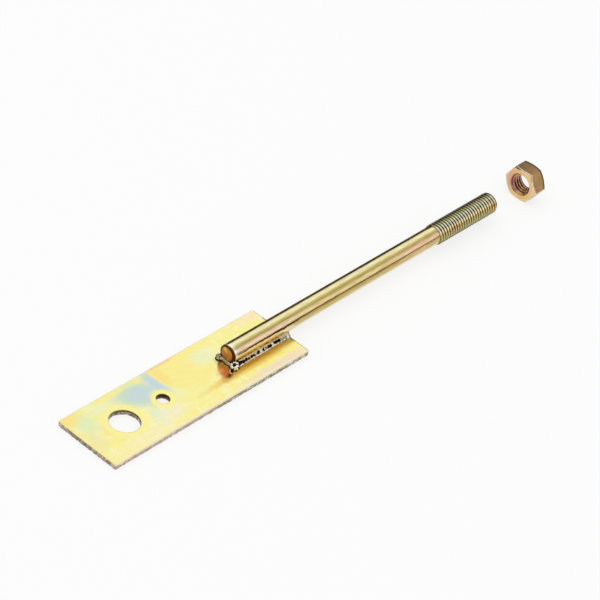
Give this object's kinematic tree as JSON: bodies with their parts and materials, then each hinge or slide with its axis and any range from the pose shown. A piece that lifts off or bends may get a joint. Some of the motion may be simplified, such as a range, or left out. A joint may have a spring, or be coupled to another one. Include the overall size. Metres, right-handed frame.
{
  "type": "strap bolt",
  "caption": "Flat steel strap with a bolt hole and a nail hole, a threaded rod welded along it, and a hexagon nut that runs on the thread.",
  "frame": {"origin": "centre of the bolt hole on the strap's underside", "axes": "+X along the rod towards its threaded tip, +Y across the strap, +Z out of the strap's top face, on which the rod is welded"},
  "size_m": [0.346, 0.04, 0.0191],
  "materials": {
    "strap": "bright zinc plate with a yellow chromate, glossy, with iridescent patches",
    "rod": "drawn steel with yellow chromate zinc plate, glossy, with fine lengthwise streaks",
    "weld": "rough weld flash under thin zinc plate, grey to brown",
    "nut": "forged nut with yellow chromate zinc plate, bronze and golden"
  },
  "bodies": {
    "strap_bolt": {"strap_plate": "strap", "bolt_rod": "rod", "weld_bead": "weld"},
    "nut": {"hex_nut": "nut"}
  },
  "joints": [
    {"name": "nut_travel", "type": "slide", "parent": "strap_bolt", "child": "nut", "axis": [-1, 0, 0], "range_m": [0, 0.074]}
  ]
}
